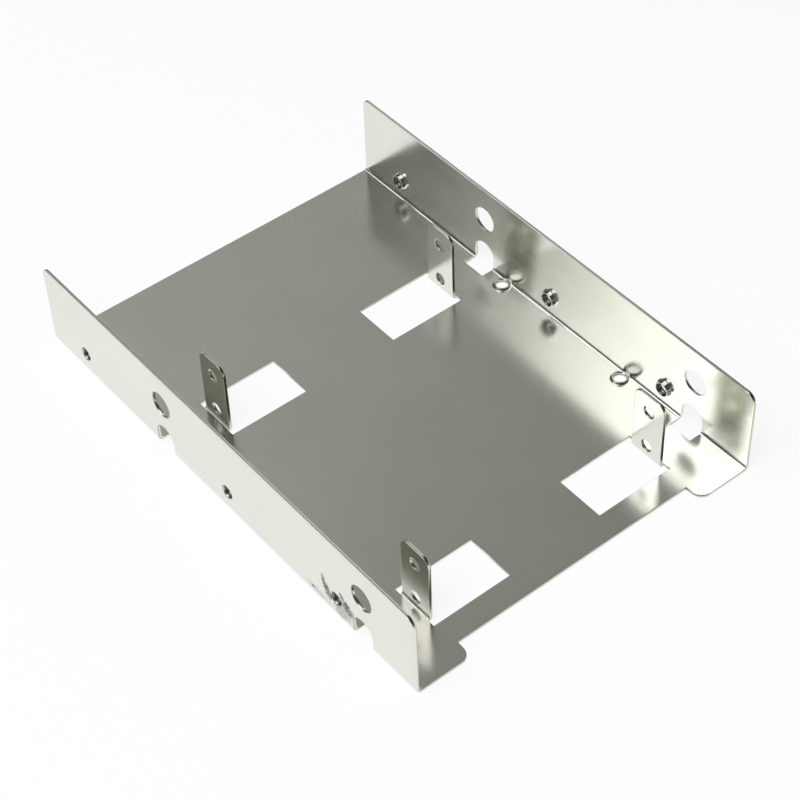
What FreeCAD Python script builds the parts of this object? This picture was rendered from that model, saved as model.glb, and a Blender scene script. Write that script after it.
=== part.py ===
import FreeCAD, Part
import math
import os

from FreeCAD import Vector

# Drive bay adapter bracket: one piece of plated sheet steel, folded into a tray.
# It takes the outside of a 3.5 inch drive and holds two 2.5 inch drives, one above the other.
# X runs across the tray, Y along it towards the closed far end, Z up.
# The origin is under the middle of the tray, on the plane that it rests on. Sizes are in millimetres.

# The sheet and its folds
sheet = 0.8
wall_fold_inside = 0.8
tab_fold_inside = 0.5
edge_break = 0.15

# The tray as a whole
tray_width = 101.6
tray_length = 145.2
wall_height = 25.0
near_corner_radius = 3.0
far_corner_radius = 2.0

# The floor stops short at the near end, between two ears
ear_width = 15.8
ear_depth = 4.9
ear_corner_radius = 3.0

# Threaded side holes, measured from the near end and from the underside
side_hole_first = 28.2
side_hole_steps = (0.0, 41.61, 41.61 + 59.99)
side_hole_height = 6.35

# Threaded floor holes, measured from the near end and from the outside of the wall
floor_hole_first = 41.2
floor_hole_steps = (0.0, 44.45)
floor_hole_inset = 3.175

# A drawn and threaded collar: the side holes are drawn higher than the floor holes
thread_radius = 1.75
collar_radius = 2.1
side_collar_rise = 1.2
floor_collar_rise = 0.8
collar_root = 0.4
collar_rim = 0.12
entry_round = 0.4

# Tabs for the small drives, cut out of the floor and folded up
tab_centres = (18.7, 18.7 + 76.6)
tab_gap = 70.0
tab_width = 10.0
tab_height = 20.6
tab_corner_radius = 2.5
tab_hole_radius = 1.65
tab_hole_heights = (4.0, 15.5)

# The window that each tab leaves in the floor is wider and longer than the flat tab by this margin
window_margin = 1.9

# Openings in the side walls, in line with the tab holes, for a screwdriver
access_radius = 3.5
access_floor_depth = 4.6

# Lengths that follow from the sizes above
half_width = tray_width / 2
half_length = tray_length / 2
near_y = -half_length
far_y = half_length
wall_fold_outside = wall_fold_inside + sheet
tab_fold_outside = tab_fold_inside + sheet
tab_outer_x = tab_gap / 2 + sheet
tab_tangent_x = tab_outer_x + tab_fold_inside
floor_hole_x = half_width - floor_hole_inset
access_floor_x = half_width - access_floor_depth
reach = 5.0

# How long a folded tab is when it lies flat: its fold along the sheet's neutral line, and its straight part
neutral_share = 0.4
tab_flat_length = math.pi / 2 * (tab_fold_inside + neutral_share * sheet) + tab_height - tab_fold_outside
window_inner_x = tab_tangent_x - tab_flat_length - window_margin


def from_near(distance):
    """The Y of a point that lies this far from the near end."""
    return near_y + distance


def line(start, end):
    """A straight edge."""
    return Part.LineSegment(start, end).toShape()


def quarter_arc(start, centre, end):
    """The quarter circle from start to end round centre."""
    bisector = (start - centre) + (end - centre)
    middle = centre + bisector.normalize() * (start - centre).Length
    return Part.Arc(start, middle, end).toShape()


def rounded_face(corners, radii):
    """A flat face through the corners, each rounded by its own radius where that isn't nothing."""
    edges = []
    count = len(corners)
    joints = []
    for i in range(count):
        corner = corners[i]
        before = (corners[i - 1] - corner).normalize()
        after = (corners[(i + 1) % count] - corner).normalize()
        reach_back = before * radii[i]
        reach_on = after * radii[i]
        joints.append((corner + reach_back, corner + reach_back + reach_on, corner + reach_on))
    for i in range(count):
        start, centre, end = joints[i]
        if radii[i] > 0:
            edges.append(quarter_arc(start, centre, end))
        edges.append(line(end, joints[(i + 1) % count][0]))
    return Part.Face(Part.Wire(edges))


def box(low, high):
    """A box between two corners."""
    size = high - low
    return Part.makeBox(size.x, size.y, size.z, low)


def mirrored(shape):
    """The same shape on the other side of the tray."""
    return shape.mirror(Vector(0, 0, 0), Vector(1, 0, 0))


def channel():
    """Floor and two walls in one section, with a round fold between them, drawn along the tray."""
    side = half_width
    inner = half_width - sheet
    corners = [
        Vector(-side, near_y, wall_height), Vector(-side, near_y, 0),
        Vector(side, near_y, 0), Vector(side, near_y, wall_height),
        Vector(inner, near_y, wall_height), Vector(inner, near_y, sheet),
        Vector(-inner, near_y, sheet), Vector(-inner, near_y, wall_height),
    ]
    outside = wall_fold_outside
    inside = wall_fold_inside
    radii = [0, outside, outside, 0, 0, inside, inside, 0]
    return rounded_face(corners, radii).extrude(Vector(0, tray_length, 0))


def wall_blank():
    """The side view of the walls, with their top corners rounded, as wide as the tray."""
    x = -half_width - reach
    corners = [
        Vector(x, near_y, -reach), Vector(x, far_y, -reach),
        Vector(x, far_y, wall_height), Vector(x, near_y, wall_height),
    ]
    side = rounded_face(corners, [0, 0, far_corner_radius, near_corner_radius])
    return side.extrude(Vector(tray_width + 2 * reach, 0, 0))


def near_recess():
    """What is cut from the near end of the floor: the ears keep a round outer corner."""
    inner_x = half_width - ear_width
    round_x = inner_x + ear_corner_radius
    round_y = near_y + ear_corner_radius
    back_y = from_near(ear_depth)
    front_y = near_y - reach
    edges = [
        line(Vector(-inner_x, back_y, 0), Vector(inner_x, back_y, 0)),
        line(Vector(inner_x, back_y, 0), Vector(inner_x, round_y, 0)),
        quarter_arc(Vector(inner_x, round_y, 0), Vector(round_x, round_y, 0), Vector(round_x, near_y, 0)),
        line(Vector(round_x, near_y, 0), Vector(round_x, front_y, 0)),
        line(Vector(round_x, front_y, 0), Vector(-round_x, front_y, 0)),
        line(Vector(-round_x, front_y, 0), Vector(-round_x, near_y, 0)),
        quarter_arc(Vector(-round_x, near_y, 0), Vector(-round_x, round_y, 0), Vector(-inner_x, round_y, 0)),
        line(Vector(-inner_x, round_y, 0), Vector(-inner_x, back_y, 0)),
    ]
    recess = Part.Face(Part.Wire(edges)).extrude(Vector(0, 0, 2 * reach))
    recess.translate(Vector(0, 0, -reach))
    return recess


def window(centre_y):
    """The opening that a tab leaves in the floor, on the right side."""
    half = tab_width / 2 + window_margin
    low = Vector(window_inner_x, centre_y - half, -reach)
    return box(low, Vector(tab_tangent_x, centre_y + half, reach))


def tab(centre_y):
    """A tab on the right side: it turns up out of the floor and its far edge faces the middle."""
    start_y = centre_y - tab_width / 2
    end_y = centre_y + tab_width / 2
    inner = tab_gap / 2
    root_x = tab_tangent_x + sheet / 2
    root = Vector(root_x, start_y, 0)
    fold_start = Vector(tab_tangent_x, start_y, 0)
    fold_centre = Vector(tab_tangent_x, start_y, sheet + tab_fold_inside)
    fold_end = Vector(inner, start_y, fold_centre.z)
    fold_end_outer = Vector(tab_outer_x, start_y, fold_centre.z)
    fold_start_upper = Vector(tab_tangent_x, start_y, sheet)
    root_upper = Vector(root_x, start_y, sheet)
    top = Vector(inner, start_y, tab_height)
    top_outer = Vector(tab_outer_x, start_y, tab_height)
    section = [
        line(root, fold_start),
        quarter_arc(fold_start, fold_centre, fold_end),
        line(fold_end, top),
        line(top, top_outer),
        line(top_outer, fold_end_outer),
        quarter_arc(fold_end_outer, fold_centre, fold_start_upper),
        line(fold_start_upper, root_upper),
        line(root_upper, root),
    ]
    solid = Part.Face(Part.Wire(section)).extrude(Vector(0, tab_width, 0))
    x = inner - reach
    corners = [
        Vector(x, start_y, -reach), Vector(x, end_y, -reach),
        Vector(x, end_y, tab_height), Vector(x, start_y, tab_height),
    ]
    outline = rounded_face(corners, [0, 0, tab_corner_radius, tab_corner_radius])
    solid = with_broken_edges(solid.common(outline.extrude(Vector(3 * reach, 0, 0))))
    for height in tab_hole_heights:
        solid = solid.cut(cross_hole(inner - 1, inner + 3, centre_y, height, tab_hole_radius))
    return solid


def cross_hole(from_x, to_x, y, z, radius):
    """A round hole across the tray."""
    return Part.makeCylinder(radius, to_x - from_x, Vector(from_x, y, z), Vector(1, 0, 0))


def access_opening(centre_y):
    """The round upper hole, and the lower slot that runs over the fold into the floor, on the right side."""
    low, high = tab_hole_heights
    upper = cross_hole(half_width - 2, half_width + 1, centre_y, high, access_radius)
    lower = cross_hole(half_width - 2, half_width + 1, centre_y, low, access_radius)
    slot = box(
        Vector(access_floor_x, centre_y - access_radius, -1),
        Vector(half_width + 1, centre_y + access_radius, low),
    )
    return [upper, lower, slot]


def is_cut_edge(solid, edge):
    """True where a flat face of the sheet meets the cut side of the sheet at an outer corner."""
    faces = solid.ancestorsOfType(edge, Part.Face)
    if len(faces) != 2:
        return False
    middle = edge.valueAt((edge.FirstParameter + edge.LastParameter) / 2)
    normals = []
    for face in faces:
        u, v = face.Surface.parameter(middle)
        normals.append(face.normalAt(u, v))
    if abs(normals[0].dot(normals[1])) > 0.3:
        return False
    step = (normals[0] + normals[1]).normalize() * 0.02
    return not solid.isInside(middle + step, 1e-4, True) and solid.isInside(middle - step, 1e-4, True)


def with_broken_edges(solid):
    """The sheet after tumbling: the sharp edges of its cut sides are slightly broken."""
    if solid.ShapeType != "Solid":
        solid = solid.Solids[0]
    return solid.makeChamfer(edge_break, [edge for edge in solid.Edges if is_cut_edge(solid, edge)])


def revolved(profile, position, axis):
    """A solid turned from (radius, height) points and arcs, standing on position along axis."""
    edges = []
    for piece in profile:
        points = [Vector(radius, 0, height) for radius, height in piece]
        if len(points) == 2:
            edges.append(line(points[0], points[1]))
        else:
            edges.append(quarter_arc(points[0], points[1], points[2]))
    solid = Part.Face(Part.Wire(edges)).revolve(Vector(0, 0, 0), Vector(0, 0, 1), 360)
    turn = FreeCAD.Rotation(Vector(0, 0, 1), axis)
    solid.Placement = FreeCAD.Placement(position, turn)
    return solid


def collar(position, axis, rise):
    """The metal drawn up round a threaded hole. Position is on the sheet's outer face."""
    foot = collar_radius + collar_root
    top = sheet + rise
    rim = collar_radius - collar_rim
    base = sheet / 2
    profile = [
        ((0, base), (foot, base)),
        ((foot, base), (foot, sheet)),
        ((foot, sheet), (collar_radius, sheet + collar_root)),
        ((collar_radius, sheet + collar_root), (collar_radius, top - collar_rim)),
        ((collar_radius, top - collar_rim), (rim, top)),
        ((rim, top), (0, top)),
        ((0, top), (0, base)),
    ]
    return revolved(profile, position, axis)


def collar_bore(position, axis):
    """The hole through a collar: drawn in round at the outer face, then straight for the thread."""
    entry = thread_radius + entry_round
    waist = entry - entry_round * math.sin(math.radians(45))
    waist_depth = entry_round * (1 - math.cos(math.radians(45)))
    top = sheet + side_collar_rise + 1
    profile = [
        ((0, -1), (entry, -1)),
        ((entry, -1), (entry, 0)),
        ((entry, 0), (waist, waist_depth)),
        ((waist, waist_depth), (thread_radius, entry_round)),
        ((thread_radius, entry_round), (thread_radius, top)),
        ((thread_radius, top), (0, top)),
        ((0, top), (0, -1)),
    ]
    return revolved(profile, position, axis)


def threaded_holes():
    """Where every threaded hole starts on the outer face, the way its collar points, and its rise."""
    places = []
    for side in (-1, 1):
        for step in side_hole_steps:
            position = Vector(side * half_width, from_near(side_hole_first + step), side_hole_height)
            places.append((position, Vector(-side, 0, 0), side_collar_rise))
        for step in floor_hole_steps:
            position = Vector(side * floor_hole_x, from_near(floor_hole_first + step), 0)
            places.append((position, Vector(0, 0, 1), floor_collar_rise))
    return places


def tray():
    """The whole bracket as one solid."""
    solid = channel().common(wall_blank()).cut(near_recess())
    cuts = []
    tabs = []
    for distance in tab_centres:
        centre_y = from_near(distance)
        cuts.append(window(centre_y))
        cuts.extend(access_opening(centre_y))
        tabs.append(tab(centre_y))
    cuts.extend([mirrored(shape) for shape in cuts])
    tabs.extend([mirrored(shape) for shape in tabs])
    solid = with_broken_edges(solid.cut(cuts)).fuse(tabs)
    places = threaded_holes()
    solid = solid.fuse([collar(position, axis, rise) for position, axis, rise in places])
    solid = solid.cut([collar_bore(position, axis) for position, axis, rise in places])
    return solid.removeSplitter()


os.makedirs("parts", exist_ok=True)
bracket = tray()
print("solids", len(bracket.Solids), "valid", bracket.isValid(), "volume", round(bracket.Volume, 1))
bounds = bracket.optimalBoundingBox(False)
print("size", [round(length, 3) for length in (bounds.XLength, bounds.YLength, bounds.ZLength)])
print("low z", round(bounds.ZMin, 4))
bracket.Solids[0].exportStep("parts/bracket_tray.step")
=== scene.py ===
# %% [markdown]
# A folded sheet metal bracket, shown as a studio photograph.
#
# The bracket is one piece of plated steel: a floor, two side walls, and four tabs that were cut
# out of the floor and turned up. In the workshop it starts as a flat blank, punched out of a
# sheet less than a millimetre thick. Then the threaded holes are drawn, and the walls and tabs
# are folded. This lesson makes the bracket in the same order: blank, drawn holes, folds, and then
# the finish. The solid model that comes with it holds the real size. It is loaded first and never
# moved.

# %% Load the solid and remember its box
import math

import bmesh
import bpy
import numpy
from mathutils import Matrix, Vector
from mathutils.geometry import delaunay_2d_cdt


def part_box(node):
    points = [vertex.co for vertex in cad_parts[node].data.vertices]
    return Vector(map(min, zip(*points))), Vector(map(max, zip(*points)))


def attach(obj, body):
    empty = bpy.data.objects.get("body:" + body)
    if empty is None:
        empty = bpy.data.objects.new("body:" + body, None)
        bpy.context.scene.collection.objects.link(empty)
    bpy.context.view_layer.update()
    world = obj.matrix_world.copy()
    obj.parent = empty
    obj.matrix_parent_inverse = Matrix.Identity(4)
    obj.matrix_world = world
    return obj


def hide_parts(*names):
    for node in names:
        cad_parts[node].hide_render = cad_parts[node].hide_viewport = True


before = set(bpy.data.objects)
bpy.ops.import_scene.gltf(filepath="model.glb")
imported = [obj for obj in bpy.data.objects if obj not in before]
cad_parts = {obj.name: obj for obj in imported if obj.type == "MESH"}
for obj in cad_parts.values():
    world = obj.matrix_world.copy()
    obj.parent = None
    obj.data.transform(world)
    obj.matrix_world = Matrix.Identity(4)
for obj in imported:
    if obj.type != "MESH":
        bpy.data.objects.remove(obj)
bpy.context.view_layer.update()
MM = 0.001
tray_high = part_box("bracket_tray")[1]
HALF_WIDTH, HALF_LENGTH, WALL_HEIGHT = [round(value / MM, 3) for value in tray_high]
print("half width, half length and height in mm:", HALF_WIDTH, HALF_LENGTH, WALL_HEIGHT)

# %% [markdown]
# The camera stands to the left of the near end and looks down at 46 degrees. A long lens from
# about half a metre keeps the walls nearly parallel, as product photographs do. Its place and its
# aim follow from corners and holes whose real positions are known, so the model lies over the
# photographed bracket to about a pixel. It is rolled by two and a half degrees.

# %% Camera
CAMERA_PLACE = Vector((-219.475, -293.233, 383.074)) * MM
CAMERA_TARGET = Vector((-2.341, -7.161, 8.0)) * MM
CAMERA_ROLL = math.radians(2.45)
CAMERA_LENS = 96.93


def make_camera():
    data = bpy.data.cameras.new("camera")
    data.sensor_width = 36
    data.lens = CAMERA_LENS
    camera = bpy.data.objects.new("camera", data)
    bpy.context.scene.collection.objects.link(camera)
    aim = (CAMERA_TARGET - CAMERA_PLACE).to_track_quat("-Z", "Y")
    roll = Matrix.Rotation(-CAMERA_ROLL, 4, "Z")
    camera.matrix_world = Matrix.Translation(CAMERA_PLACE) @ aim.to_matrix().to_4x4() @ roll
    bpy.context.scene.camera = camera
    return camera


camera = make_camera()
print("lens and distance of the camera in mm:", round(camera.data.lens, 1),
      round((CAMERA_TARGET - CAMERA_PLACE).length / MM, 1))

# %% [markdown]
# Materials and lights here are built from nodes. Making a node always takes the same steps:
# create it, choose its settings, and fill or connect its inputs. One helper does all three, so
# that the later cells can read like a recipe. An input that is given another node's output is
# connected.

# %% A helper for nodes
def add(tree, kind, inputs=None, **settings):
    """Add a node. Inputs are values, or outputs of other nodes to connect."""
    node = tree.nodes.new("ShaderNode" + kind)
    for name, value in settings.items():
        setattr(node, name, value)
    for key, value in (inputs or {}).items():
        if isinstance(value, bpy.types.NodeSocket):
            tree.links.new(value, node.inputs[key])
        else:
            node.inputs[key].default_value = value
    return node


def maths(tree, operation, first, second=0.0):
    """One arithmetic step of two numbers."""
    return add(tree, "Math", {0: first, 1: second}, operation=operation).outputs[0]


print("helpers:", add.__name__, "and", maths.__name__)

# %% [markdown]
# Bright plating has hardly any colour of its own. What shows on it is the room, so the room is
# built as carefully as the metal. It is nearly black, with a few soft glows in it. A glow is a
# bell curve of the angle from its middle, given by its name, direction, brightness and width in
# degrees. The first one gives the floor of the tray its slow fall from light to dark. The next
# two belong to the left soft box, which has a haze round it and is brightest in its middle, where
# the lamp stands. The fourth lights the top of the left wall. The others stand where mostly other
# views of the bracket mirror them. The dark between them draws the black lines along the cut
# edges. The camera itself sees plain white.

# %% The room
def direction(azimuth, elevation):
    """A unit vector. Azimuth turns from +Y towards +X, elevation rises from the floor."""
    a, e = math.radians(azimuth), math.radians(elevation)
    return Vector((math.sin(a) * math.cos(e), math.cos(a) * math.cos(e), math.sin(e)))


ROOM_BASE = 0.02
ROOM_COLOUR = (0.985, 1.03, 0.985, 1)
GLOWS = [
    ("far wall", direction(24, 38), 0.35, 20),
    ("haze round the soft box", direction(-56, 47), 0.11, 11),
    ("hot middle of the soft box", direction(-61, 51), 2.0, 5),
    ("far right corner", direction(56, 27), 2.0, 5.5),
    ("ceiling", direction(0, 90), 0.12, 11),
    ("low on the right", direction(110, 12), 0.22, 13),
    ("low at the near end", direction(165, 10), 0.2, 12),
    ("low behind the camera", direction(-130, 24), 0.25, 15),
    ("under the table", direction(0, -90), 0.8, 32),
]


def glow(tree, look, middle, brightness, width):
    """A bell curve of the angle from the middle. The width is in degrees."""
    dot = add(tree, "VectorMath", {0: look, 1: middle}, operation="DOT_PRODUCT")
    below_one = maths(tree, "SUBTRACT", dot.outputs["Value"], 1)
    fall = maths(tree, "DIVIDE", below_one, math.radians(width) ** 2)
    return maths(tree, "MULTIPLY", maths(tree, "EXPONENT", fall), brightness)


def make_room():
    world = bpy.data.worlds.new("studio")
    bpy.context.scene.world = world
    world.use_nodes = True
    tree = world.node_tree
    tree.nodes.clear()
    look = add(tree, "TexCoord").outputs["Generated"]
    strength = ROOM_BASE
    for name, middle, brightness, width in GLOWS:
        strength = maths(tree, "ADD", glow(tree, look, middle, brightness, width), strength)
    room = add(tree, "Background", {"Color": ROOM_COLOUR, "Strength": strength})
    white = add(tree, "Background", {"Color": (1, 1, 1, 1), "Strength": 1})
    seen = add(tree, "LightPath").outputs["Is Camera Ray"]
    mix = add(tree, "MixShader", {0: seen, 1: room.outputs[0], 2: white.outputs[0]})
    add(tree, "OutputWorld", {"Surface": mix.outputs[0]})


make_room()
print("glows in the room:", [name for name, *rest in GLOWS])

# %% [markdown]
# Under the bracket lies white paper. A real sheet is overexposed in such a photograph, so the
# part of its brightness that the camera and the reflections see is given as light of its own,
# with a strength of 1. The rest is plain paper, and it keeps the bracket's soft shadow.

# %% The paper
PAPER_WHITE = (0.93, 0.93, 0.915, 1)
PAPER_GLOW_SHARE = 0.86
PAPER_SIZE = 6.0
PAPER_GAP = 0.02 * MM


def make_paper():
    mesh = bpy.data.meshes.new("paper")
    work = bmesh.new()
    bmesh.ops.create_grid(work, x_segments=1, y_segments=1, size=PAPER_SIZE / 2)
    work.to_mesh(mesh)
    work.free()
    paper = bpy.data.objects.new("paper", mesh)
    bpy.context.scene.collection.objects.link(paper)
    paper.location.z = -PAPER_GAP
    mesh.materials.append(paper_material())
    return paper


def paper_material():
    material = bpy.data.materials.new("white_paper")
    material.use_nodes = True
    tree = material.node_tree
    tree.nodes.clear()
    plain = add(tree, "BsdfDiffuse", {"Color": PAPER_WHITE})
    lit = add(tree, "Emission", {"Color": (1, 1, 1, 1), "Strength": 1})
    path = add(tree, "LightPath")
    seen = maths(tree, "MAXIMUM", path.outputs["Is Camera Ray"], path.outputs["Is Glossy Ray"])
    seen = maths(tree, "MAXIMUM", seen, path.outputs["Is Transmission Ray"])
    share = maths(tree, "MULTIPLY", seen, PAPER_GLOW_SHARE)
    mix = add(tree, "MixShader", {0: share, 1: plain.outputs[0], 2: lit.outputs[0]})
    add(tree, "OutputMaterial", {"Surface": mix.outputs[0]})
    return material


paper = make_paper()
print("paper", PAPER_SIZE, "m square, at height", round(paper.location.z / MM, 3), "mm")

# %% [markdown]
# Two soft boxes hang over the bracket and are mirrored in it. The large one on the left makes the
# bright end of the right wall and the white patch on the floor beside it. The long one above
# draws the thin white lines along the folds and the tops of the walls. A third lamp is kept out
# of the reflections and only brings the light on the paper up to a plain level. They all hang one
# metre away, so a direction is also a place. Their power is worked out from the brightness that a
# mirror would show. Their colour leans a little to violet: the brightest parts mirror them twice
# over, and the plating alone would turn those parts green.

# %% Soft boxes
SOFTBOX_COLOUR = (1.0, 0.955, 1.09)


def make_softbox(name, place, width, height, brightness, mirrored=True):
    data = bpy.data.lights.new(name, "AREA")
    data.shape = "RECTANGLE"
    data.size = width
    data.size_y = height
    data.energy = brightness * width * height * math.pi
    data.color = SOFTBOX_COLOUR
    box = bpy.data.objects.new(name, data)
    bpy.context.scene.collection.objects.link(box)
    box.location = place
    box.rotation_mode = "QUATERNION"
    box.rotation_quaternion = place.to_track_quat("Z", "Y")
    box.visible_glossy = mirrored
    return box


make_softbox("left_softbox", direction(-72.6, 58.4), width=0.79, height=0.96, brightness=1.88)
make_softbox("long_softbox", direction(-2, 55.5), width=0.42, height=0.27, brightness=1.5)
make_softbox("paper_lamp", direction(-125, 62), width=0.6, height=0.6, brightness=5.2,
             mirrored=False)

# %% [markdown]
# Now the sheet. It is 0.8 mm thick, and every fold in it is a short arc. On the flat blank a fold
# is a strip, as long as the arc along the middle of the sheet. So each point of the blank has a
# place (u across, v along, w up through the sheet), and bending works out where it goes: forward
# round the arc first, then straight up. Two small rules say where a height ends up on the blank.

# %% The sheet and its folds
SHEET = 0.8
WALL_FOLD_INSIDE = 0.8
TAB_FOLD_INSIDE = 0.5
TAB_GAP = 70.0
WALL_FOLD_START = HALF_WIDTH - SHEET - WALL_FOLD_INSIDE
TAB_FOLD_START = TAB_GAP / 2 + SHEET + TAB_FOLD_INSIDE


def fold_length(inside):
    """Length of a right-angled fold along the middle of the sheet."""
    return (inside + SHEET / 2) * math.pi / 2


def bend(past, w, inside):
    """How far forward and how high a point comes that lies past the start of a fold."""
    outside = inside + SHEET
    angle = min(past / (inside + SHEET / 2), math.pi / 2)
    straight = max(0.0, past - fold_length(inside))
    radius = outside - w
    return radius * math.sin(angle), outside - radius * math.cos(angle) + straight


def wall_place(height):
    """Where a height on the right wall lies on the blank."""
    return WALL_FOLD_START + fold_length(WALL_FOLD_INSIDE) + height - SHEET - WALL_FOLD_INSIDE


def tab_place(height):
    """Where a height on a right tab lies on the blank."""
    return TAB_FOLD_START - fold_length(TAB_FOLD_INSIDE) - height + SHEET + TAB_FOLD_INSIDE


print("blank is", round(2 * wall_place(WALL_HEIGHT), 1), "mm wide before folding")

# %% [markdown]
# Each tab is cut out of the floor along three sides and stays joined along the fourth. Lying flat
# it is a tongue in its own window. A point of the blank belongs to a tab when it lies on a
# tongue, to a wall when it lies past the wall's fold, and otherwise to the floor, which stays
# where it is.

# %% From the flat blank to the folded bracket
TAB_WIDTH = 10.0
TAB_HEIGHT = 20.6
TAB_FROM_END = 18.7
TAB_STEP = 76.6
TAB_CENTRES = [TAB_FROM_END - HALF_LENGTH, TAB_FROM_END + TAB_STEP - HALF_LENGTH]
TAB_TIP = tab_place(TAB_HEIGHT)
SLACK = 0.01


def on_tab(u, v):
    inside = TAB_TIP - SLACK < abs(u) < TAB_FOLD_START
    return inside and any(abs(v - centre) < TAB_WIDTH / 2 + SLACK for centre in TAB_CENTRES)


def folded(u, v, w):
    """The place on the finished bracket of a point of the blank, in millimetres."""
    side = math.copysign(1, u)
    if on_tab(u, v):
        forward, up = bend(TAB_FOLD_START - abs(u), w, TAB_FOLD_INSIDE)
        return Vector((side * (TAB_FOLD_START - forward), v, up))
    if abs(u) > WALL_FOLD_START:
        forward, up = bend(abs(u) - WALL_FOLD_START, w, WALL_FOLD_INSIDE)
        return Vector((side * (WALL_FOLD_START + forward), v, up))
    return Vector((u, v, w))


print("top of a wall:", [round(x, 2) for x in folded(wall_place(WALL_HEIGHT), 0, 0)])
print("tip of a tab:", [round(x, 2) for x in folded(TAB_TIP, TAB_CENTRES[0], 0)])

# %% [markdown]
# The punch cuts outlines with rounded corners. An outline is a list of corners, each with a
# radius, and the rounding puts a quarter circle of short steps in place of the corner. Outlines
# of the metal run anticlockwise and outlines of holes clockwise, so the metal is always on the
# left.

# %% Rounded outlines
CORNER_STEPS = 14


def rounded(corners):
    """Points round an outline with corners given as (u, v, radius). All corners are square."""
    points = []
    for i, (u, v, radius) in enumerate(corners):
        corner = Vector((u, v))
        if radius == 0:
            points.append(corner)
            continue
        before = (Vector(corners[i - 1][:2]) - corner).normalized()
        after = (Vector(corners[(i + 1) % len(corners)][:2]) - corner).normalized()
        centre = corner + (before + after) * radius
        for step in range(CORNER_STEPS + 1):
            turn = math.pi / 2 * step / CORNER_STEPS
            points.append(centre - (after * math.cos(turn) + before * math.sin(turn)) * radius)
    return points


def round_hole(u, v, radius, steps):
    """Points round a hole, clockwise."""
    turns = [-2 * math.pi * step / steps for step in range(steps)]
    return [Vector((u + radius * math.cos(t), v + radius * math.sin(t))) for t in turns]


square = [(0, 0, 1), (4, 0, 1), (4, 4, 1), (0, 4, 1)]
print("points round a square with round corners:", len(rounded(square)))

# %% [markdown]
# The outer outline of the blank: a long rectangle with the walls still lying flat. The top
# corners of the walls are rounded, less at the far end than at the near end. The near end of the
# floor is cut back between two ears.

# %% The outer outline
NEAR_CORNER = 3.0
FAR_CORNER = 2.0
EAR_WIDTH = 15.8
EAR_DEPTH = 4.9
EAR_CORNER = 3.0


def blank_outline():
    top = wall_place(WALL_HEIGHT)
    ear = HALF_WIDTH - EAR_WIDTH
    near = -HALF_LENGTH
    right = [
        (ear, near + EAR_DEPTH, 0), (ear, near, EAR_CORNER),
        (top, near, NEAR_CORNER), (top, HALF_LENGTH, FAR_CORNER),
    ]
    left = [(-u, v, radius) for u, v, radius in reversed(right)]
    return rounded(right + left)


outline = blank_outline()
print("outline of the blank:", len(outline), "points")

# %% [markdown]
# The openings. Each window is wider and longer than its tab, because the die needs room all
# round. The tabs have two screw holes. In line with them, the walls have a round hole for the
# upper screw and a slot for the lower one, which runs on over the fold into the floor. On the
# left side every opening is the mirror image, and a mirrored outline is reversed to keep the
# metal on its left.

# %% Windows, screw holes and screwdriver openings
WINDOW_MARGIN = 1.9
WINDOW_INNER = 13.81
TAB_CORNER = 2.5
TAB_HOLE_RADIUS = 1.65
TAB_HOLE_HEIGHTS = (4.0, 15.5)
ACCESS_RADIUS = 3.5
ACCESS_FLOOR = 46.2
HOLE_STEPS = 48
ACCESS_STEPS = 72


def window(centre):
    """A window with its tab still lying in it."""
    side = TAB_WIDTH / 2 + WINDOW_MARGIN
    half = TAB_WIDTH / 2
    corners = [
        (WINDOW_INNER, centre - side, 0), (TAB_FOLD_START, centre - side, 0),
        (TAB_FOLD_START, centre - half, 0), (TAB_TIP, centre - half, TAB_CORNER),
        (TAB_TIP, centre + half, TAB_CORNER), (TAB_FOLD_START, centre + half, 0),
        (TAB_FOLD_START, centre + side, 0), (WINDOW_INNER, centre + side, 0),
    ]
    return rounded(corners)[::-1]


def lower_slot(centre):
    """The opening for the lower screw: straight in the floor, round at its top in the wall."""
    middle = wall_place(TAB_HOLE_HEIGHTS[0])
    radius = ACCESS_RADIUS
    steps = ACCESS_STEPS // 2
    turns = [math.pi * (step / steps - 0.5) for step in range(steps + 1)]
    arc = [(middle + radius * math.cos(t), centre + radius * math.sin(t)) for t in turns]
    ends = [(ACCESS_FLOOR, centre + radius), (ACCESS_FLOOR, centre - radius)]
    return [Vector(place) for place in arc + ends][::-1]


def right_openings():
    loops = []
    upper_access = wall_place(TAB_HOLE_HEIGHTS[1])
    for centre in TAB_CENTRES:
        loops += [window(centre), lower_slot(centre)]
        loops.append(round_hole(upper_access, centre, ACCESS_RADIUS, ACCESS_STEPS))
        for height in TAB_HOLE_HEIGHTS:
            loops.append(round_hole(tab_place(height), centre, TAB_HOLE_RADIUS, HOLE_STEPS))
    return loops


def mirrored(loop):
    return [Vector((-point.x, point.y)) for point in loop][::-1]


openings = right_openings()
openings += [mirrored(loop) for loop in openings]
print("openings:", len(openings))

# %% [markdown]
# A flat face can be covered by long triangles, but a fold needs a line of points every few
# degrees or it would look like a crease. Each outline gets a point wherever a fold line crosses
# it. Later the opposite points are joined, so the triangles turn along with the metal.

# %% Points where fold lines cross the outlines
FOLD_STEPS = 12
TOUCHING = 1e-4
SAME_LINE = 1e-3


def fold_lines(start, length, way):
    places = [start + way * length * step / FOLD_STEPS for step in range(FOLD_STEPS + 1)]
    return places + [-place for place in places]


wall_lines = fold_lines(WALL_FOLD_START, fold_length(WALL_FOLD_INSIDE), 1)
tab_lines = fold_lines(TAB_FOLD_START, fold_length(TAB_FOLD_INSIDE), -1)


def crossed(points):
    """The outline with a point added at every fold line that it crosses."""
    result = []
    lines = wall_lines + tab_lines
    for a, b in zip(points, points[1:] + points[:1]):
        low, high = sorted((a.x, b.x))
        cuts = [line for line in lines if low + TOUCHING < line < high - TOUCHING]
        cuts = [line for line in cuts if line in wall_lines or on_tab(line, a.y)]
        result.append(a)
        for line in sorted(cuts, key=lambda line: abs(line - a.x)):
            result.append(a.lerp(b, (line - a.x) / (b.x - a.x)))
    return result


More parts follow.
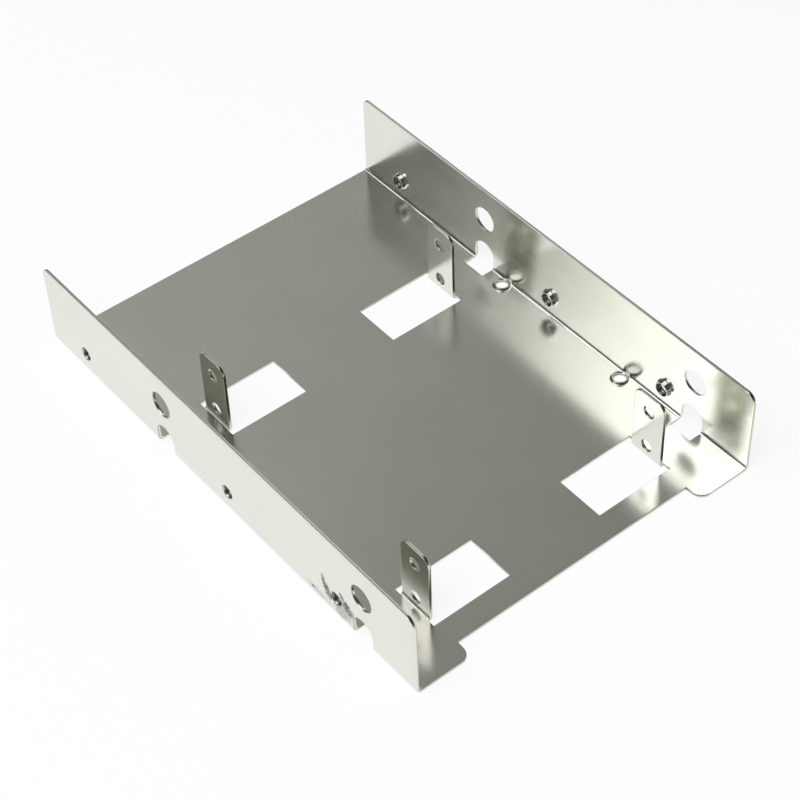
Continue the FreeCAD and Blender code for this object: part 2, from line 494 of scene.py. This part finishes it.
outline = crossed(outline)
openings = [crossed(loop) for loop in openings]
print("points on the cut edges:", len(outline) + sum(len(loop) for loop in openings))

# %% [markdown]
# The cut edge is what gives sheet metal away. As a punch goes through, it first pulls the surface
# over in a round lip, then cuts an upright band, and then the rest tears off at a slight slope
# and leaves a sharp edge. So the photograph has a dark line and a light one side by side on the
# edges. The outer outline has its lip on the lower face. The openings are pierced the other way
# round, so theirs is on the upper face. Each outline is swept through that profile, and each step
# of it says how its face was made, for the finish. A narrow flat margin on both faces keeps the
# shading of the edge from spreading over the sheet. The inset uses the mitre rule, so an edge
# keeps its width round every corner.

# %% The profile of a cut edge
# Kinds of face, for the finish. Two of them are painted shade: the one for the tabs' faces towards
# the walls, and the one for the bores in the walls.
ROLLED, IRONED, SHADED_TAB_FACE, SHEARED, SHADED_BORE = 0.0, -1.0, -2.0, 1.0, 2.0
SHARP_EDGE = 0.03
TORN_SLOPE = 0.11
TORN_END = 0.4
LIP_ROUND = 0.12
LIP_STEPS = 6
FLAT_MARGIN = 0.12


def edge_profile():
    """Height, inset and kind of each step, from the upper face of the sheet to the lower."""
    bevel = TORN_SLOPE + SHARP_EDGE
    profile = [
        (SHEET, bevel + FLAT_MARGIN, ROLLED), (SHEET, bevel, ROLLED),
        (SHEET - SHARP_EDGE, TORN_SLOPE, SHEARED), (TORN_END, 0.0, ROLLED),
    ]
    for step in range(LIP_STEPS + 1):
        turn = math.pi / 2 * step / LIP_STEPS
        height, inset = LIP_ROUND * (1 - math.sin(turn)), LIP_ROUND * (1 - math.cos(turn))
        profile.append((height, inset, ROLLED))
    return profile + [(0.0, LIP_ROUND + FLAT_MARGIN, ROLLED)]


def insets(points):
    """For each point, the step into the metal that moves both its edges by one millimetre."""
    steps = []
    for i, b in enumerate(points):
        first = (b - points[i - 1]).normalized()
        second = (points[(i + 1) % len(points)] - b).normalized()
        left_first = Vector((-first.y, first.x))
        left_second = Vector((-second.y, second.x))
        steps.append((left_first + left_second) / (1 + left_first.dot(left_second)))
    return steps


print("height and inset of each step:")
print([(round(w, 2), round(inset, 2)) for w, inset, how in edge_profile()])

# %% [markdown]
# All parts of the bracket go into one mesh. Rings of points are joined by strips of four-sided
# faces. Each face keeps a number of its own, and the material reads that number later on: left as
# rolled, sheared by a punch, ironed smooth as a collar is drawn, or painted shade, which darkens
# the tabs' faces towards the walls and the bores in the walls.

# %% Rings and strips
work = bmesh.new()
made_and_shaded = work.faces.layers.float.new("made_and_shaded")


def ring(places):
    return [work.verts.new(place) for place in places]


def strip(upper, lower, how):
    """Join two rings of the same length by a strip of faces."""
    count = len(upper)
    for i in range(count):
        j = (i + 1) % count
        work.faces.new((upper[i], upper[j], lower[j], lower[i]))[made_and_shaded] = how


def cut_edge(points, pierced):
    """Sweep the edge profile round an outline. Gives both outer rings and their flat places."""
    profile = edge_profile()
    kinds = [how for w, inset, how in profile[:-1]]
    if pierced:
        profile = [(SHEET - w, inset, how) for w, inset, how in reversed(profile)]
        kinds.reverse()
    steps = insets(points)
    rings = []
    for w, inset, how in profile:
        flat = [point + step * inset for point, step in zip(points, steps)]
        rings.append((flat, ring(folded(p.x, p.y, w) for p in flat)))
    for i, kind in enumerate(kinds):
        strip(rings[i][1], rings[i + 1][1], kind)
    return rings[0], rings[-1]


upper_loops, lower_loops = [], []
for points in [outline] + openings:
    upper_loop, lower_loop = cut_edge(points, pierced=points is not outline)
    upper_loops.append(upper_loop)
    lower_loops.append(lower_loop)
print("cut edges:", len(upper_loops), "loops and", len(work.faces), "faces")

# %% [markdown]
# The threaded holes. A sheet this thin has too little metal for a screw, so a punch pushes
# through a small hole and draws the metal up round it as a collar. The side that the punch enters
# is rounded in, the collar stands on the other side with a curved foot, and its rim is cut flat.
# The profile runs from the foot over the rim, down the bore and out at the round entry.

# %% Sizes of a collar
THREAD_RADIUS = 1.75
THREAD_DEPTH = 0.26
THREAD_PITCH = 25.4 / 32
THREAD_FLAT = 0.15
THREAD_FADE_LOW = 0.25
THREAD_FADE_HIGH = 0.3
COLLAR_RADIUS = 2.1
SIDE_COLLAR_RISE = 1.2
FLOOR_COLLAR_RISE = 0.8
COLLAR_FOOT = 0.4
COLLAR_RIM = 0.12
BORE_RIM = 0.08
ENTRY_ROUND = 0.4
COLLAR_STEPS = 72
LEVELS_PER_PITCH = 12
CURVE_STEPS = 6
OUTSIDE_RINGS = 1 + (CURVE_STEPS + 1) + (CURVE_STEPS // 2 + 1)
ENTRY_RINGS = CURVE_STEPS + 1
print("thread pitch in mm", round(THREAD_PITCH, 3))

# %% [markdown]
# A thread is a ridge that climbs by one pitch with each turn. It needs no spiral drawing: the
# bore is a grid of points, and each point's radius depends on its height and its angle together.
# Where the two add up to a whole number of turns, the ridge stands highest. The ridge fades out
# at both ends, as a tap leaves it.

# %% The bore's radius with its thread
def thread_ridge(phase):
    """Height of the ridge, from 0 to 1, at a phase of the pitch. Crest and root are cut flat."""
    slope = 1 - abs(2 * (phase % 1.0) - 1)
    return min(max((1 + 2 * THREAD_FLAT) * slope - THREAD_FLAT, 0), 1)


def bore_radius(w, turn, low, high):
    fade = min(1, (w - low) / THREAD_FADE_LOW, (high - w) / THREAD_FADE_HIGH)
    return THREAD_RADIUS - THREAD_DEPTH * max(fade, 0) * thread_ridge(w / THREAD_PITCH - turn)


def bore_levels(low, high):
    count = math.ceil((high - low) / THREAD_PITCH * LEVELS_PER_PITCH)
    return [high + (low - high) * step / count for step in range(count + 1)]


levels = bore_levels(ENTRY_ROUND, SHEET + SIDE_COLLAR_RISE - BORE_RIM)
print("a side collar's bore has", len(levels), "levels of", COLLAR_STEPS, "points")

# %% [markdown]
# The floor's collars stand so near the wall that their foot runs into its fold. There the foot is
# held back by the wall and climbs the fold a little, and its flat margin is a quarter as wide. So
# each point of the foot asks for its height on the folded sheet, and for its place on the blank,
# where it joins the flat triangles.

# %% Where a collar meets the sheet
FLOOR_HOLE_X = HALF_WIDTH - 3.175
WALL_CLEARANCE = 0.06
MARGIN_AT_WALL = 0.25


def sheet_point(x, w):
    """How high the face w of the floor or its fold lies at x, and where that is on the blank."""
    past = abs(x) - WALL_FOLD_START
    if past <= 0:
        return w, x
    radius = WALL_FOLD_INSIDE + SHEET - w
    angle = math.asin(min(past / radius, 1))
    u = WALL_FOLD_START + (WALL_FOLD_INSIDE + SHEET / 2) * angle
    return WALL_FOLD_INSIDE + SHEET - radius * math.cos(angle), math.copysign(u, x)


def foot_radius(x, cosine, margin=0.0):
    """The foot's radius, less where the wall is in the way."""
    room = HALF_WIDTH - SHEET - WALL_CLEARANCE - abs(x) + margin * MARGIN_AT_WALL
    towards_wall = cosine * math.copysign(1, x)
    radius = COLLAR_RADIUS + COLLAR_FOOT + margin
    return min(radius, room / towards_wall) if towards_wall > 0 else radius


print("foot next to the wall:", round(foot_radius(FLOOR_HOLE_X, 1.0), 2), "mm")

# %% [markdown]
# One collar is a stack of rings. For each angle round the hole the profile is worked out as pairs
# of radius and height. It starts on the outer side at the foot's curve, rounds the rim, follows
# the thread down and opens into the curve of the entry.

# %% The profile of a collar
SHOULDER_ABOVE_FOOT = 0.08


def collar_profile(turn, foot, foot_height, entry_height, rise):
    """Radius and height from the foot to the entry, for one angle given in turns."""
    quarter = [math.pi / 2 * step / CURVE_STEPS for step in range(CURVE_STEPS + 1)]
    top = SHEET + rise
    shoulder = max(SHEET + COLLAR_FOOT, foot_height + SHOULDER_ABOVE_FOOT)
    profile = [(foot - (foot - COLLAR_RADIUS) * math.sin(t),
                shoulder - (shoulder - foot_height) * math.cos(t)) for t in quarter]
    profile += [(COLLAR_RADIUS - COLLAR_RIM * (1 - math.cos(t)),
                 top - COLLAR_RIM * (1 - math.sin(t))) for t in quarter[::2]]
    profile.append((THREAD_RADIUS + BORE_RIM, top))
    low, high = ENTRY_ROUND, top - BORE_RIM
    profile += [(bore_radius(w, turn, low, high), w) for w in bore_levels(low, high)]
    for t in quarter[1:]:
        profile.append((THREAD_RADIUS + ENTRY_ROUND * (1 - math.cos(t)),
                        ENTRY_ROUND - (ENTRY_ROUND - entry_height) * math.sin(t)))
    return profile


side_profile = collar_profile(0.0, COLLAR_RADIUS + COLLAR_FOOT, SHEET, 0.0, SIDE_COLLAR_RISE)
print("points down the profile of a side collar:", len(side_profile))

# %% [markdown]
# A column is that profile set up at one angle, with a flat margin before and after it. Collars on
# the walls are made flat as well and carried up by the fold. Collars on the floor stand where
# they are. Ring number n then takes the n-th place of every column, and strips join the rings.
# The rings outside the bore are counted, so that only the bore between them gets painted shade,
# a dark colour for the shade inside a hole in a wall. On the floor the bores are open to the
# bright paper below, so they get no painted shade and keep the plain finish.

# %% One collar
def collar_column(u, v, turn, rise, in_wall):
    """The places down a collar at one angle, and where it meets both faces of the blank."""
    place = folded if in_wall else lambda x, y, z: Vector((x, y, z))
    sheet_at = (lambda x, w: (w, x)) if in_wall else sheet_point
    cosine, sine = math.cos(2 * math.pi * turn), math.sin(2 * math.pi * turn)
    foot, margin = COLLAR_RADIUS + COLLAR_FOOT, COLLAR_RADIUS + COLLAR_FOOT + FLAT_MARGIN
    if not in_wall:
        foot, margin = foot_radius(u, cosine), foot_radius(u, cosine, FLAT_MARGIN)
    entry = THREAD_RADIUS + ENTRY_ROUND
    outer = entry + FLAT_MARGIN
    foot_height = sheet_at(u + foot * cosine, SHEET)[0]
    entry_height = sheet_at(u + entry * cosine, 0.0)[0]
    margin_height, margin_u = sheet_at(u + margin * cosine, SHEET)
    outer_height, outer_u = sheet_at(u + outer * cosine, 0.0)
    profile = collar_profile(turn, foot, foot_height, entry_height, rise)
    profile = [(margin, margin_height)] + profile + [(outer, outer_height)]
    column = [place(u + r * cosine, v + r * sine, w) for r, w in profile]
    return column, Vector((margin_u, v + margin * sine)), Vector((outer_u, v + outer * sine))


def make_collar(u, v, rise, in_wall):
    """Add a collar round (u, v) on the blank. Gives its loops on the upper and the lower face."""
    turns = [-step / COLLAR_STEPS for step in range(COLLAR_STEPS)]
    columns, upper_flat, lower_flat = zip(
        *(collar_column(u, v, turn, rise, in_wall) for turn in turns))
    rings = [ring(places) for places in zip(*columns)]
    bore = range(OUTSIDE_RINGS, len(rings) - ENTRY_RINGS)
    # The bores in the walls get painted shade, a dark colour. The floor's bores see the bright
    # paper and keep the plain plating.
    bore_shade_kind = SHADED_BORE if in_wall else ROLLED
    for i in range(len(rings) - 1):
        kind = bore_shade_kind if i in bore else IRONED
        strip(rings[i], rings[i + 1], ROLLED if i in (0, len(rings) - 2) else kind)
    return (list(upper_flat), rings[0]), (list(lower_flat), rings[-1])


print("columns round a collar:", COLLAR_STEPS)

# %% [markdown]
# Ten collars: three in each wall and two at each side of the floor, where a large drive has its
# screw holes. They are measured from the near end, as a drawing would give them.

# %% All collars
SIDE_HOLES_FROM_END = 28.2
SIDE_HOLES = [SIDE_HOLES_FROM_END + step - HALF_LENGTH for step in (0.0, 41.61, 101.6)]
SIDE_HOLE_HEIGHT = 6.35
FLOOR_HOLES_FROM_END = 41.2
FLOOR_HOLES = [FLOOR_HOLES_FROM_END + step - HALF_LENGTH for step in (0.0, 44.45)]

for side in (-1, 1):
    holes = [(side * wall_place(SIDE_HOLE_HEIGHT), v, SIDE_COLLAR_RISE, True) for v in SIDE_HOLES]
    holes += [(side * FLOOR_HOLE_X, v, FLOOR_COLLAR_RISE, False) for v in FLOOR_HOLES]
    for u, v, rise, in_wall in holes:
        upper_loop, lower_loop = make_collar(u, v, rise, in_wall)
        upper_loops.append(upper_loop)
        lower_loops.append(lower_loop)
print("faces with the collars:", len(work.faces))

# %% [markdown]
# The fold lines. On every line, the points where it crosses an outline are sorted, and each pair
# with metal between is joined. Where a floor collar's foot stands in the fold, the line stops
# just short of it on both sides, and the triangles close the gap.

# %% Join the points along each fold line
COLLAR_GAP = 0.15


def pairs_across_walls(loops):
    """Pairs of (flat place, vertex) to join along the lines of the wall folds."""
    edges = []
    for line in wall_lines:
        found = [(place, vert) for flat, verts in loops[:1 + len(openings)]
                 for place, vert in zip(flat, verts) if abs(place.x - line) < SAME_LINE]
        found.sort(key=lambda item: item[0].y)
        edges += list(zip(found[::2], found[1::2]))
    return edges


def on_tab_side(point):
    """Whether a point of a window's outline lies on one of the two long sides of its tab."""
    ways = [abs(abs(point.y - centre) - TAB_WIDTH / 2) for centre in TAB_CENTRES]
    return min(ways) < SAME_LINE and abs(point.x) < TAB_FOLD_START + SAME_LINE


def pairs_across_tabs(loops):
    """Pairs to join along the lines of the tab folds, from one side of a tab to the other."""
    edges = []
    for original, (flat, verts) in zip(openings, loops[1:]):
        sides = {}
        for source, place, vert in zip(original, flat, verts):
            if on_tab_side(source):
                sides.setdefault(round(source.x, 3), []).append((place, vert))
        edges += [tuple(pair) for pair in sides.values() if len(pair) == 2]
    return edges


def crossings_of(flat, line):
    """Where a loop crosses a fold line, as places along the line."""
    found = []
    for p, q in zip(flat, flat[1:] + flat[:1]):
        if (p.x - line) * (q.x - line) < 0:
            found.append(p.lerp(q, (line - p.x) / (q.x - p.x)).y)
    return found


def split_at_collars(edges, loops, w):
    """Stop each joined pair short of any collar foot that stands on it."""
    collars = sorted(loops[1 + len(openings):], key=lambda loop: loop[0][0].y)
    result = []
    for start, end in edges:
        line = start[0].x
        stops = [start]
        for flat, verts in collars:
            across = crossings_of(flat, line)
            if across and start[0].y < min(across) and max(across) < end[0].y:
                for v in (min(across) - COLLAR_GAP, max(across) + COLLAR_GAP):
                    stops.append((Vector((line, v)), work.verts.new(folded(line, v, w))))
        stops.append(end)
        result += list(zip(stops[::2], stops[1::2]))
    return result


print("fold lines:", len(wall_lines), "for the walls and", len(tab_lines), "for the tabs")

# %% [markdown]
# The two large faces of the sheet are filled in flat. A constrained Delaunay triangulation takes
# all the outlines and fold lines as edges that it must keep, and covers everything with
# triangles. Those that lie in a hole or outside are thrown away by counting outlines: a point of
# the metal is inside an odd number of them. The same triangles then join the points that are
# already folded.

# %% Fill the faces of the sheet
CLOSEST = 1e-6


def in_metal(middles, loops):
    """For each point, whether it lies inside an odd number of the loops."""
    odd = numpy.zeros(len(middles), bool)
    for flat, verts in loops:
        a = numpy.array([tuple(p) for p in flat])
        b = numpy.roll(a, -1, axis=0)
        for (ax, ay), (bx, by) in zip(a, b):
            if ay == by:
                continue
            spans = (middles[:, 1] > ay) != (middles[:, 1] > by)
            odd ^= spans & (middles[:, 0] < ax + (middles[:, 1] - ay) * (bx - ax) / (by - ay))
    return odd


def network(loops, w):
    """All flat places of a face, their vertices, and the edges between them by number."""
    places, verts, edges = [], [], []
    for flat, loop_verts in loops:
        first, count = len(places), len(flat)
        places += flat
        verts += loop_verts
        edges += [(first + i, first + (i + 1) % count) for i in range(count)]
    joined = split_at_collars(pairs_across_walls(loops), loops, w) + pairs_across_tabs(loops)
    number = {vert: i for i, vert in enumerate(verts)}
    for pair in joined:
        for place, vert in pair:
            if vert not in number:
                number[vert] = len(verts)
                places.append(place)
                verts.append(vert)
        edges.append((number[pair[0][1]], number[pair[1][1]]))
    return places, verts, edges


def fill_face(loops, w):
    """Cover one face of the sheet with triangles."""
    places, verts, edges = network(loops, w)
    out, _, triangles, sources, _, _ = delaunay_2d_cdt(places, edges, [], 0, CLOSEST)
    crossings = sum(1 for source in sources if not source)
    middles = numpy.array([tuple((out[a] + out[b] + out[c]) / 3) for a, b, c in triangles])
    kept = [tri for tri, inside in zip(triangles, in_metal(middles, loops)) if inside]
    for triangle in kept:
        middle = (out[triangle[0]] + out[triangle[1]] + out[triangle[2]]) / 3
        face = work.faces.new([verts[sources[i][0]] for i in triangle])
        upright = abs(middle.x) < tab_place(SHEET + TAB_FOLD_INSIDE)
        # The upright faces of the tabs towards the walls get painted shade, a darker colour.
        face[made_and_shaded] = SHADED_TAB_FACE if w > 0 and upright and on_tab(middle.x, middle.y) else ROLLED
    return len(kept), crossings


print("upper face (triangles, stray crossings):", fill_face(upper_loops, SHEET))
print("lower face (triangles, stray crossings):", fill_face(lower_loops, 0.0))

# %% [markdown]
# The mesh is closed: every edge has a face on both sides. It is scaled to metres and takes the
# solid model's place. Smooth shading alone would drag the folds' shading out over the flat faces,
# so a weighted normal modifier lets each large flat face decide the shading at its own border.

# %% The bracket as one piece
FLAT_FACES_WEIGHT = 60


def make_bracket():
    work.normal_update()
    bmesh.ops.recalc_face_normals(work, faces=work.faces[:])
    open_edges = sum(1 for edge in work.edges if not edge.is_manifold)
    bmesh.ops.scale(work, vec=(MM, MM, MM), verts=work.verts[:])
    for face in work.faces:
        face.smooth = True
    mesh = bpy.data.meshes.new("folded_bracket")
    work.to_mesh(mesh)
    work.free()
    piece = bpy.data.objects.new("folded_bracket", mesh)
    bpy.context.scene.collection.objects.link(piece)
    weigh = piece.modifiers.new("flat_faces_decide", "WEIGHTED_NORMAL")
    weigh.mode = "FACE_AREA"
    weigh.weight = FLAT_FACES_WEIGHT
    print("open edges:", open_edges, "faces:", len(mesh.polygons))
    return piece


bracket = make_bracket()
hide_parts("bracket_tray")
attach(bracket, "root")

# %% [markdown]
# The finish. Bright zinc plating over steel mirrors the room softly. Its base colour is a pale,
# very slightly yellow grey. Textures are measured in features per millimetre, so that their grain
# stays true to size, and one helper turns that into a texture scale. Three more keep the recipe
# short: noise, a mapped range, and a colour mix.

# %% Helpers for the finish
def per_mm(count):
    """Texture scale for this many features in a millimetre."""
    return count / MM


def noise(tree, place, scale, detail=2.0):
    inputs = {"Vector": place, "Scale": scale, "Detail": detail}
    return add(tree, "TexNoise", inputs).outputs["Fac"]


def spread(tree, value, low, high, to_low=0.0, to_high=1.0):
    """Map a range of a texture onto another range."""
    inputs = {0: value, 1: low, 2: high, 3: to_low, 4: to_high}
    return add(tree, "MapRange", inputs, interpolation_type="SMOOTHSTEP").outputs[0]


def mix_colour(tree, share, first, second):
    """Mix two colours. The node takes colours at inputs 6 and 7 and gives one at output 2."""
    return add(tree, "Mix", {0: share, 6: first, 7: second}, data_type="RGBA").outputs[2]


print("texture scale for one feature in a millimetre:", per_mm(1))

# %% [markdown]
# Something has rubbed the left wall, beside its near threaded hole. There a few dark patches run
# down the wall, where the plating is worn dull. A patch is a stretched ball: the mapping turns
# and shrinks the space round it to a ball of radius one, and a soft step fades it towards the
# border. Coarse and fine noise move that border in and out, and the inside is mottled, so that no
# patch looks drawn. Each is given by its two ends, as places along the wall and heights on it,
# with its half width and how dark it is.

# %% Worn patches on the left wall
PATCHES = [
    ((-39.3, 10.8), (-40.4, 8.0), 0.9, 0.8), ((-40.0, 9.2), (-41.7, 5.6), 1.3, 1.0),
    ((-40.9, 7.0), (-42.7, 4.2), 1.5, 0.95), ((-46.0, 10.0), (-47.4, 7.4), 0.8, 0.95),
    ((-46.9, 8.6), (-48.9, 6.0), 1.5, 1.0), ((-47.9, 6.9), (-50.3, 4.6), 1.9, 0.9),
    ((-43.0, 3.9), (-49.6, 3.7), 2.3, 0.5), ((-35.2, 3.4), (-36.1, 2.5), 0.8, 0.9),
    ((-33.0, 3.2), (-42.0, 2.3), 1.1, 0.3),
]
PATCH_DEPTH = 0.4
PATCH_CORE, PATCH_BORDER = 0.5, 1.25
COARSE_PER_MM, COARSE_SWING = 0.7, 1.3
FINE_PER_MM, FINE_SWING = 3.2, 1.9
MOTTLE_PER_MM, MOTTLE_PALEST = 1.7, 0.65
MOTTLE_RANGE = (0.4, 0.55)


def patch(tree, place, ragged, start, end, half_width, dark):
    middle = (Vector(start) + Vector(end)) / 2
    along = Vector(end) - Vector(start)
    inputs = {
        "Vector": place,
        "Location": (-HALF_WIDTH * MM, middle.x * MM, middle.y * MM),
        "Rotation": (math.atan2(along.y, along.x), 0, 0),
        "Scale": (PATCH_DEPTH * MM, along.length / 2 * MM, half_width * MM),
    }
    ball = add(tree, "Mapping", inputs, vector_type="TEXTURE").outputs[0]
    radius = add(tree, "VectorMath", {0: ball}, operation="LENGTH").outputs["Value"]
    reach = maths(tree, "ADD", radius, ragged)
    return spread(tree, reach, PATCH_CORE, PATCH_BORDER, dark, 0.0)


def swinging(tree, value, swing):
    """A noise from 0 to 1, turned into one that swings round zero."""
    return maths(tree, "MULTIPLY", maths(tree, "SUBTRACT", value, 0.5), swing)


def worn(tree, place):
    """How worn the plating is, from 0 to 1."""
    coarse = swinging(tree, noise(tree, place, per_mm(COARSE_PER_MM)), COARSE_SWING)
    fine = swinging(tree, noise(tree, place, per_mm(FINE_PER_MM), detail=3), FINE_SWING)
    ragged = maths(tree, "ADD", coarse, fine)
    total = 0.0
    for start, end, half_width, dark in PATCHES:
        one = patch(tree, place, ragged, start, end, half_width, dark)
        total = maths(tree, "MAXIMUM", one, total)
    mottle = noise(tree, place, per_mm(MOTTLE_PER_MM), detail=3)
    return maths(tree, "MULTIPLY", total, spread(tree, mottle, *MOTTLE_RANGE, MOTTLE_PALEST, 1.0))


print("worn patches:", len(PATCHES))

# %% [markdown]
# Now the whole recipe. Three things keep the plating from looking like a computer's mirror:
# broad, faint clouds in the colour, a fine orange peel in the surface that breaks reflections up
# into grain, and lines left by the rolling mill, which run along the tray. The sheared faces were
# plated as well, but over a torn surface, so they are a little darker and duller. The collars
# were ironed smooth by the punch, and the worn patches are the darkest. Painted shade makes the
# tabs' faces towards the walls darker, and the bores in the walls dark.

# %% Plated steel
PLATING = (0.785, 0.80, 0.705, 1)
PLATING_CLOUD = (0.76, 0.775, 0.685, 1)
PLATING_ROUGHNESS = 0.2
IRONED_COLOUR = (0.6, 0.61, 0.55, 1)
# Painted shade on the tabs' faces towards the walls.
SHADED_TAB_COLOUR = (0.48, 0.48, 0.41, 1)
SHEARED_COLOUR = (0.52, 0.53, 0.49, 1)
# Painted shade in the bores of the walls.
SHADED_BORE_COLOUR = (0.24, 0.24, 0.22, 1)
WORN_COLOUR = (0.1, 0.105, 0.1, 1)
ROUGHNESS_SWING = 0.02
IRONED_SMOOTHER, SHEARED_ROUGHER, WORN_ROUGHER = -0.12, 0.06, 0.2
CLOUDS_PER_MM = 0.04
CLOUDS_RANGE = (0.35, 0.65)
PEEL_PER_MM = 2.6
PEEL_DEPTH = 0.0022
ROLLING_PER_MM = 2.2
ROLLING_RANGE = (0.3, 0.7)
ROLLING_STRETCH = 0.03
ROLLING_SHARE = 0.3


def plated_steel():
    material = bpy.data.materials.new("bright_plating")
    material.use_nodes = True
    tree = material.node_tree
    tree.nodes.clear()
    place = add(tree, "TexCoord").outputs["Object"]
    stretch = (1.0, ROLLING_STRETCH, 1.0)
    along = add(tree, "Mapping", {"Vector": place, "Scale": stretch}).outputs[0]
    clouds = spread(tree, noise(tree, place, per_mm(CLOUDS_PER_MM)), *CLOUDS_RANGE)
    peel = noise(tree, place, per_mm(PEEL_PER_MM), detail=1.5)
    rolling = noise(tree, along, per_mm(ROLLING_PER_MM), detail=3)
    how = add(tree, "Attribute", attribute_name="made_and_shaded").outputs["Fac"]
    ironed = spread(tree, how, 0, IRONED)
    shaded_tab = spread(tree, how, IRONED, SHADED_TAB_FACE)
    sheared = spread(tree, how, 0, SHEARED)
    shaded_bore = spread(tree, how, SHEARED, SHADED_BORE)
    rubbed = worn(tree, place)
    colour = mix_colour(tree, clouds, PLATING, PLATING_CLOUD)
    smooth, dull = PLATING_ROUGHNESS - ROUGHNESS_SWING, PLATING_ROUGHNESS + ROUGHNESS_SWING
    rough = spread(tree, rolling, *ROLLING_RANGE, smooth, dull)
    for share, tint, rougher in ((ironed, IRONED_COLOUR, IRONED_SMOOTHER),
                                 (shaded_tab, SHADED_TAB_COLOUR, 0.0),
                                 (sheared, SHEARED_COLOUR, SHEARED_ROUGHER),
                                 (shaded_bore, SHADED_BORE_COLOUR, 0.0),
                                 (rubbed, WORN_COLOUR, WORN_ROUGHER)):
        colour = mix_colour(tree, share, colour, tint)
        rough = maths(tree, "ADD", rough, maths(tree, "MULTIPLY", share, rougher))
    height = maths(tree, "ADD", peel, maths(tree, "MULTIPLY", rolling, ROLLING_SHARE))
    bump = add(tree, "Bump", {"Height": height, "Strength": 1.0, "Distance": PEEL_DEPTH * MM})
    inputs = {"Base Color": colour, "Metallic": 1.0, "Roughness": rough, "Normal": bump.outputs[0]}
    metal = add(tree, "BsdfPrincipled", inputs)
    add(tree, "OutputMaterial", {"Surface": metal.outputs[0]})
    return material


bracket.data.materials.append(plated_steel())
print("finish:", bracket.data.materials[0].name)

# %% [markdown]
# Last, the view settings stay plain so that colours come out as written. The model must not be
# larger than the solid that it dresses.

# %% Close
bpy.context.scene.view_settings.view_transform = "Standard"
bpy.context.view_layer.update()
